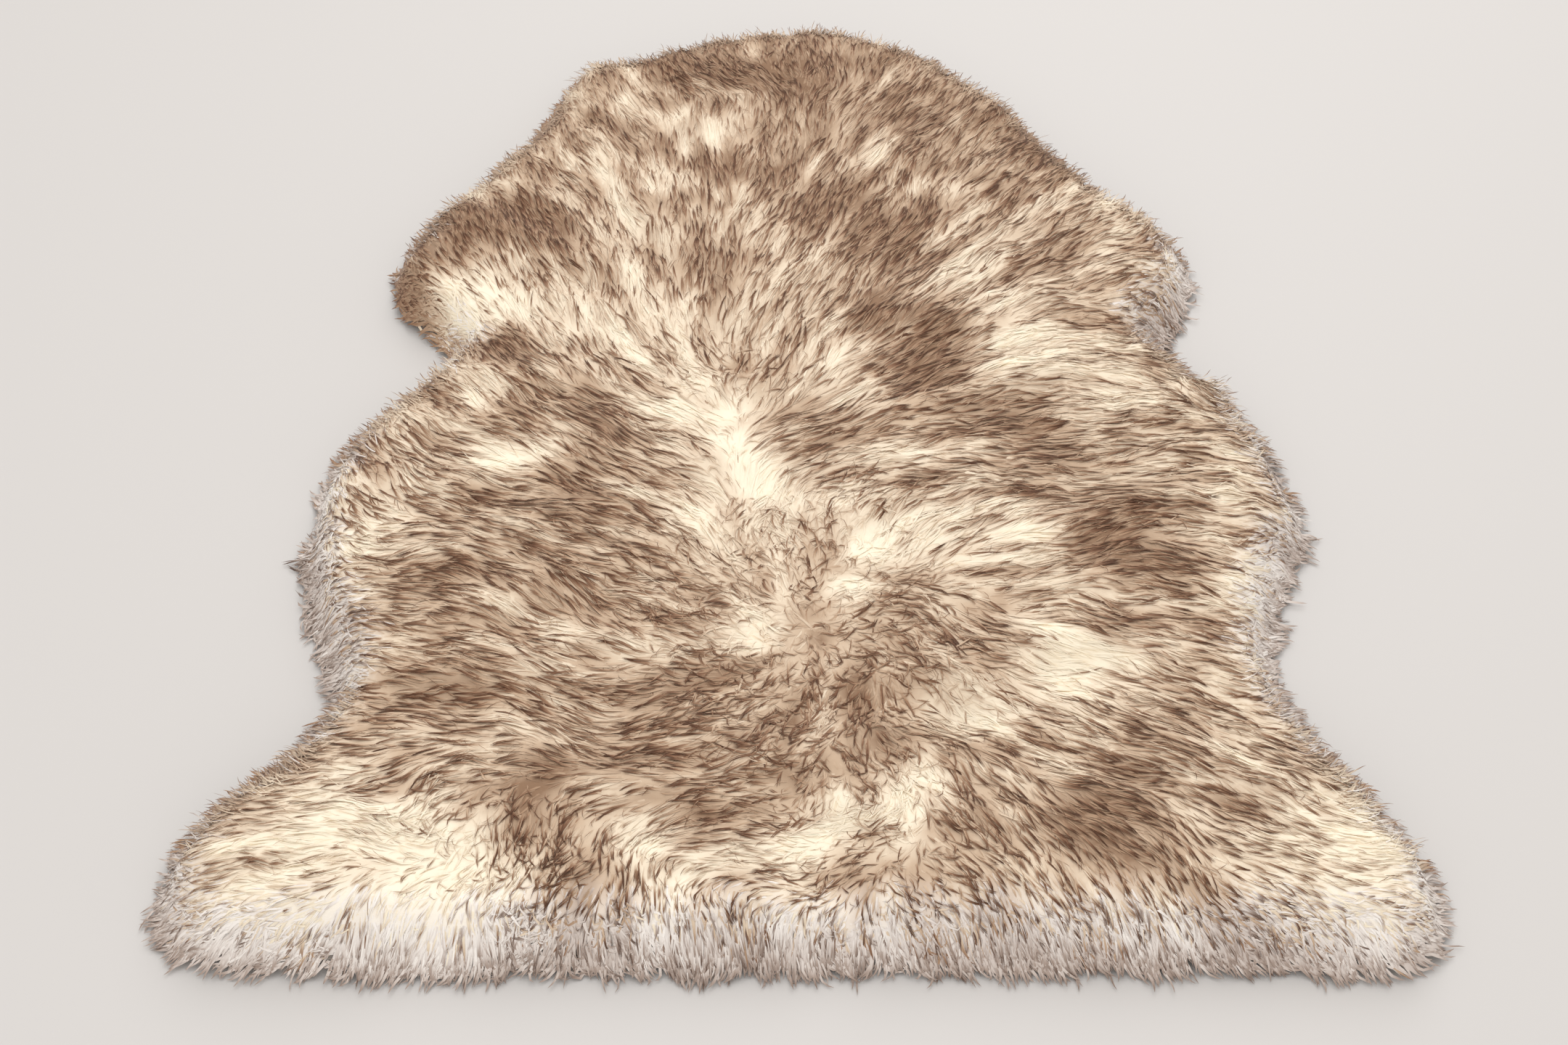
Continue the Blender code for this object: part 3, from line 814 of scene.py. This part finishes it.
def strands_of(lines, each, spread, width, dark, rise, core=0.0, twist=0.15, lift=0.02, uneven=0.05,
               start=0.24, loft=0.0, droop=0.65):
    """Centre lines in space, widths, twists, tones and brownness of a layer's strands, one row a strand."""
    n = len(lines) * each
    centre = np.repeat(lines, each, axis=0)
    forward, sideways = way_of(centre)
    size = np.repeat(chance.uniform(0.5, 1.3, len(lines)) * read_map(coarseness, lines[:, 0]), each)
    spread, width = spread * size, width * (0.6 + 0.4 * size)
    apart = 1 - ALONG ** 1.8  # how far apart the strands of a lock still are, from root to tip
    angle, radius = chance.uniform(0, 2 * np.pi, n), np.sqrt(chance.uniform(0, 1, n))
    across = (spread * radius * np.cos(angle))[:, None] * apart
    across += WAVER * chance.normal(0, 1, n)[:, None] * ALONG
    ahead = ((spread * radius * np.sin(angle))[:, None] * apart
             + (spread * chance.uniform(-2.0, 0.6, n))[:, None] * ALONG ** 2)
    centre = centre + across[:, :, None] * sideways[:, None, :] + ahead[:, :, None] * forward[:, None, :]
    pile = read_map(wool_top, centre)
    shared = np.repeat(chance.normal(0, lift, len(lines)), each)[:, None] * ALONG
    share = np.array(rise) + shared + chance.normal(0, 0.5 * lift, n)[:, None]
    loft, droop, start = [np.repeat(value * np.ones(len(lines)), each)[:, None]
                          for value in (loft, droop, start)]
    least = LEAST_HEIGHT + chance.uniform(0, 0.003, n)[:, None]
    least = np.maximum(loft * (1 - droop * ALONG ** 1.5), least)
    height = np.maximum(pile * share, least)
    tones = read_map(tone_map, centre) + chance.normal(0, uneven, n)[:, None]
    past_start = ALONG - start - chance.uniform(-0.10, 0.14, n)[:, None]
    browned = np.clip(past_start / (ALL_BROWN - start), 0, 1)
    most = np.repeat(dark, each) - core * radius + chance.normal(0, 0.08, n)
    return (np.concatenate([centre, height[:, :, None]], axis=2), width * chance.uniform(0.7, 1.25, n),
            chance.normal(0, twist, n), tones, np.clip(most, 0, 1)[:, None] * browned ** 1.5)


# %% [markdown]
# ### One mesh from many strands
# A separate object for each strand would be slow, so a whole region's ribbons are written into one mesh
# at once. A ribbon has nine corners: four pairs along its sides and the tip. The shading normals lean
# towards the fleece's own surface, so that the wool is lit as one soft body and not as thousands of flat
# blades.

# %% A mesh of ribbons
CORNERS = 9
FACES = np.array([0, 1, 3, 2, 2, 3, 5, 4, 4, 5, 7, 6, 6, 7, 8])  # the corners of three quads and the tip
FACE_STARTS = np.array([0, 4, 8, 12])
LOWEST = 0.0003  # metres that a ribbon's edge stays above the floor


def strand_mesh(name, lines, widths, twists, tones, browned):
    """One mesh of tapered ribbons along the lines, with their tones and brownness in its UV map."""
    n = len(lines)
    along = np.gradient(lines, axis=1)
    along /= np.linalg.norm(along, axis=2)[:, :, None] + 1e-12
    up = np.dstack([-read_map(slope_x, lines), -read_map(slope_y, lines), np.ones(lines.shape[:2])])
    up /= np.linalg.norm(up, axis=2)[:, :, None]
    side = np.cross(along, up)
    side /= np.linalg.norm(side, axis=2)[:, :, None] + 1e-12
    over = np.cross(side, along)
    turned = side * np.cos(twists)[:, None, None] + over * np.sin(twists)[:, None, None]
    half = turned[:, :-1] * (0.5 * widths[:, None] * TAPER)[:, :, None]
    left, right = lines[:, :-1] - half, lines[:, :-1] + half
    body = np.stack([left, right], axis=2).reshape(n, 8, 3)
    corners = np.concatenate([body, lines[:, -1:]], axis=1)
    corners[:, :, 2] = np.maximum(corners[:, :, 2], LOWEST)

    mesh = bpy.data.meshes.new(name)
    count = np.arange(n)[:, None]
    mesh.vertices.add(CORNERS * n)
    mesh.vertices.foreach_set("co", corners.astype(np.float32).ravel())
    mesh.loops.add(len(FACES) * n)
    mesh.loops.foreach_set("vertex_index", (count * CORNERS + FACES).astype(np.int32).ravel())
    mesh.polygons.add(len(FACE_STARTS) * n)
    mesh.polygons.foreach_set("loop_start", (count * len(FACES) + FACE_STARTS).astype(np.int32).ravel())
    mesh.update(calc_edges=True)

    level = np.repeat(np.arange(5), 2)[:CORNERS]  # which point of its line each corner belongs to
    pair_apart = np.array([-0.012, 0.012] * 4 + [0])  # so that no face is a mere line in the UV map
    u = np.clip(tones[:, level], 0, 1) * 0.95 + 0.025 + pair_apart
    v = np.clip(browned[:, level], 0, 1) * 0.96 + 0.02
    flat = np.stack([u, v], axis=2)[:, FACES]
    mesh.uv_layers.new(name="OFBake").uv.foreach_set("vector", flat.astype(np.float32).ravel())
    mesh.shade_smooth()
    facing = over * np.cos(twists)[:, None, None] - side * np.sin(twists)[:, None, None]
    leaning = up[:, level] + 0.25 * facing[:, level]
    leaning /= np.linalg.norm(leaning, axis=2)[:, :, None]
    mesh.normals_split_custom_set_from_vertices(leaning.reshape(-1, 3).astype(np.float32))
    piece = bpy.data.objects.new(name, mesh)
    bpy.context.scene.collection.objects.link(piece)
    return piece


# %% [markdown]
# ## The seven layers of wool
# Four layers cover the top. The pale wool is wide and lies close to the mat, and its still lines close
# the parting. The locks rise a little above it, so that their dark tips show as dashes on the pale wool.
# The guard hairs are thin and stray more. The hooks are short curled locks, kept only where the wool is
# curly.

# %% The wool of the top
def shingled(lines, strength):
    """How much darker lines get along their tufts, most of all on the neck."""
    return strength * (0.4 + 0.6 * read_map(on_neck, lines[:, 0])) * along_tuft(lines, tufts)


tufts = lay(0.022, 0.040, 0.10, 0.6)

pale = gathered(lay(0.0056, 0.030, 0.10, 0.5, overhang=0.000, still=True), tufts, 0.35)
pale_strands = strands_of(
    pale, 1, 0.0, 0.0021, 0.24 * darkness(pale, 0.1, 0.8) + chance.normal(0, 0.12, len(pale)),
    [0.90, 0.955, 0.965, 0.97, 0.968], lift=0.004, twist=0.08, uneven=0.08)
pale_strands[TONE][:] += shingled(pale, 0.11)[:, None]

locks = gathered(lay(0.0072, 0.040, 0.08, 0.6, overhang=0.010), tufts, 0.35)
coarse = read_map(coarseness, locks[:, 0])
unevenly = chance.normal(0, 0.30, len(locks)) * coarse ** 1.5
lock_strands = strands_of(
    locks, 5, 0.0018, 0.00106, darkness(locks, 0.0, 0.60) + unevenly + shingled(locks, 0.15),
    [0.90, 0.955, 0.975, 0.985, 0.983], core=0.35, lift=0.006, start=0.24 + 0.45 * (1 - coarse))

guard = gathered(lay(0.0085, 0.022, 0.30, 1.6), tufts, 0.2)
guard_strands = strands_of(
    guard, 1, 0.0, 0.0006, darkness(guard, -0.1, 0.5) + chance.normal(0, 0.2, len(guard)),
    [0.93, 0.97, 0.99, 1.0, 0.995], twist=0.2, lift=0.008)

CURLY = 40  # degrees of curl above which there are hooks
hooks = lay(0.0088, 0.021, 0.5, 1.0, still=True)
hooks = hooks[read_map(curliness, hooks[:, 0]) > CURLY]
hook_strands = strands_of(
    hooks, 4, 0.0013, 0.0008, darkness(hooks, -0.1, 0.7) + chance.normal(0, 0.2, len(hooks)),
    [0.90, 0.955, 0.98, 0.99, 0.985], core=0.4, lift=0.006, start=0.18)
print("lines of pale wool", len(pale), "locks", len(locks), "guard hairs", len(guard), "hooks", len(hooks))

# %% [markdown]
# ### The rim
# At the rim the wool hangs at every height, from the top of the pile to the floor, and turns outwards in
# tufts that reach the floor at different places. The lines of a tuft spring from about the same height,
# and its strands share a tone. Close to the floor they are painted darker and their tips browner: partly
# shade, because little light gets there, and partly the dark tips of the lowest wool. Dark ticks lie among
# them, fewer and fainter than on the top. On the far crest, where the rim turns away, a fine fuzz stands
# up and breaks the outline.

# %% The wool of the rim
rim_tufts = lay(0.0110, 0.030, 0.42, 1.0, overhang=-0.002, deepest=0.034, outward=0.25, past=(0.002, 0.016))
rim = lay(0.00213, 0.028, 0.24, 1.8, overhang=-0.002, deepest=0.024, outward=0.2, past=(0.000, 0.020))
rim = gathered(rim, rim_tufts, 0.32, least=1.0)
ticks = lay(0.0066, 0.022, 0.20, 0.8, overhang=-0.002, deepest=0.030, outward=0.2, past=(-0.005, 0.012))
ticks = gathered(ticks, rim_tufts, 0.3, least=1.0)
spring = chance.uniform(-0.4, 0.4, len(rim_tufts))


def springs_from(lines, more):
    """How high lines at the rim start, by their tuft and more on the far side, and how they droop."""
    share = spring[tuft_of(lines, rim_tufts)] + more + chance.uniform(-0.10, 0.10, len(lines))
    far_side = np.clip(1.5 * read_map(out_y, lines[:, 0]), 0, 1)
    height = read_map(wool_top, lines[:, 0]) * np.clip(share + 0.5 * far_side, 0, 1)
    return height, 0.65 - 0.50 * far_side


loft, droop = springs_from(rim, 0.0)
rim_strands = strands_of(
    rim, 1, 0.0, 0.0021, 0.20 * darkness(rim, 0.0, 0.7) + chance.normal(0, 0.06, len(rim)),
    [0.85, 0.93, 0.97, 0.99, 0.99], twist=0.05, uneven=0.02, loft=loft, droop=droop)
# painted shade, with the dark tips of the lowest wool: strands within this height of the floor are darker
# and browner
DIM_BELOW = 0.024  # metres above the floor
near_floor = np.clip(1 - rim_strands[LINE][:, :, 2] / DIM_BELOW, 0, 1)
tuft_tone = chance.normal(0, 0.11, len(rim_tufts))[tuft_of(rim, rim_tufts)]
rim_strands[TONE][:] += 0.45 * near_floor + tuft_tone[:, None]
rim_strands[BROWN][:] = np.clip(rim_strands[BROWN] + 0.50 * near_floor * ALONG, 0, 1)

crest = lay(0.0027, 0.024, 0.30, 1.0, overhang=-0.002, deepest=0.038, outward=0.5, past=(-0.010, 0.012))
far = 1.4 * read_map(out_y, crest[:, 0]) > chance.uniform(0.2, 1, len(crest))
crest = crest[far & (read_map(outside, crest[:, 0]) < -0.012)]
crest_strands = strands_of(
    crest, 1, 0.0, 0.0009, 0.1 + 0.7 * darkness(crest, -0.2, 0.8) + chance.normal(0, 0.15, len(crest)),
    [0.88, 0.96, 0.99, 1.00, 1.00], twist=0.3,
    loft=read_map(wool_top, crest[:, 0]) * chance.uniform(0.85, 1.03, len(crest)),
    droop=chance.uniform(0.0, 0.45, len(crest)))

loft, droop = springs_from(ticks, 0.28)
tick_strands = strands_of(
    ticks, 4, 0.0014, 0.0011, darkness(ticks, -0.3, 0.9) + chance.normal(0, 0.25, len(ticks)),
    [0.88, 0.96, 0.99, 1.01, 1.02], core=0.35, lift=0.004, loft=loft, droop=droop)
print("lines at the rim", len(rim), "ticks", len(ticks), "crest", len(crest))

# %% [markdown]
# ## The pieces of wool
# The wool is kept as pieces, one a part of the skin, so that each stays a mesh of a handy size. The wool
# of the rim is in two pieces of its own, because it has the greyer material, except at the neck. Real
# wool has no line there, so chance mixes the two kinds where the map of the grey is neither low nor high.

# %% Make the pieces of long wool
REGIONS = [  # name, from y, to y, from x, to x in mm
    ("wool_neck", 235, 700, -600, 600), ("wool_left_shoulder", 10, 235, -600, -40),
    ("wool_right_shoulder", 10, 235, -40, 600), ("wool_left_belly", -265, 10, -600, -60),
    ("wool_right_belly", -265, 10, -60, 600), ("wool_left_haunch", -700, -265, -600, -60),
    ("wool_right_haunch", -700, -265, -60, 600),
]
layers = (pale_strands, lock_strands, guard_strands, hook_strands, rim_strands, tick_strands, crest_strands)
together = [np.concatenate(parts) for parts in zip(*layers)]
root = together[LINE][:, 0] * 1000
grey_there = read_map(greyed, together[LINE][:, 2])
in_grey = grey_there > 0.5 + chance.uniform(-0.42, 0.42, len(root))
parts = {"wool_rim_left": ([part[in_grey & (root[:, 0] < 0)] for part in together], rim_wool),
         "wool_rim_right": ([part[in_grey & (root[:, 0] >= 0)] for part in together], rim_wool)}
for name, y0, y1, x0, x1 in REGIONS:
    inside = (root[:, 1] >= y0) & (root[:, 1] < y1) & (root[:, 0] >= x0) & (root[:, 0] < x1)
    parts[name] = ([part[inside & ~in_grey] for part in together], wool)

for name, (strands, material) in parts.items():
    piece = strand_mesh(name, *strands)
    finish_piece(piece, material)
    print(name, "has", len(strands[1]), "strands and", 7 * len(strands[1]), "triangles")
print("triangles of wool in all:", 7 * sum(len(strands[1]) for strands, _ in parts.values()))

# %% [markdown]
# ## Floor and light
# The rug lies in a bright room with large windows, so the light is soft and comes from everywhere, a
# little more from above and behind. One large lamp stands for the windows, one for the ceiling, and a
# weak one for the room in front, which keeps the near rim from going dark. A plain pale floor is enough
# to carry the shadow.

# %% Floor, world and lights
bpy.ops.object.select_all(action="DESELECT")
bpy.ops.mesh.primitive_plane_add(size=12, location=(0, 0, 0))
floor = bpy.context.object
floor.name = "floor"
floor_paint, tree, output = new_material("plain pale floor")
surface(tree, output, {"Base Color": colour("#CECBC9"), "Roughness": 0.6})
floor.data.materials.append(floor_paint)

world = bpy.data.worlds.new("soft room light")
bpy.context.scene.world = world
world.use_nodes = True
world.node_tree.nodes["Background"].inputs["Color"].default_value = colour("#FFFBF6")
world.node_tree.nodes["Background"].inputs["Strength"].default_value = 0.70
bpy.context.scene.view_settings.view_transform = "Standard"


def soft_light(name, place, aim, size, watts):
    """A large square lamp at a place, turned to an aim."""
    bpy.ops.object.light_add(type="AREA", location=place)
    lamp = bpy.context.object
    lamp.name = name
    lamp.rotation_euler = (Vector(aim) - Vector(place)).to_track_quat("-Z", "Y").to_euler()
    lamp.data.size = size
    lamp.data.energy = watts


soft_light("window behind", (0.5, 2.2, 2.4), (0, 0, 0), 2.0, 38)
soft_light("ceiling", (-0.3, -0.3, 3.0), (0, 0, 0), 2.5, 28)
soft_light("room in front", (0.0, -2.6, 1.2), (0, 0, 0), 2.5, 12)
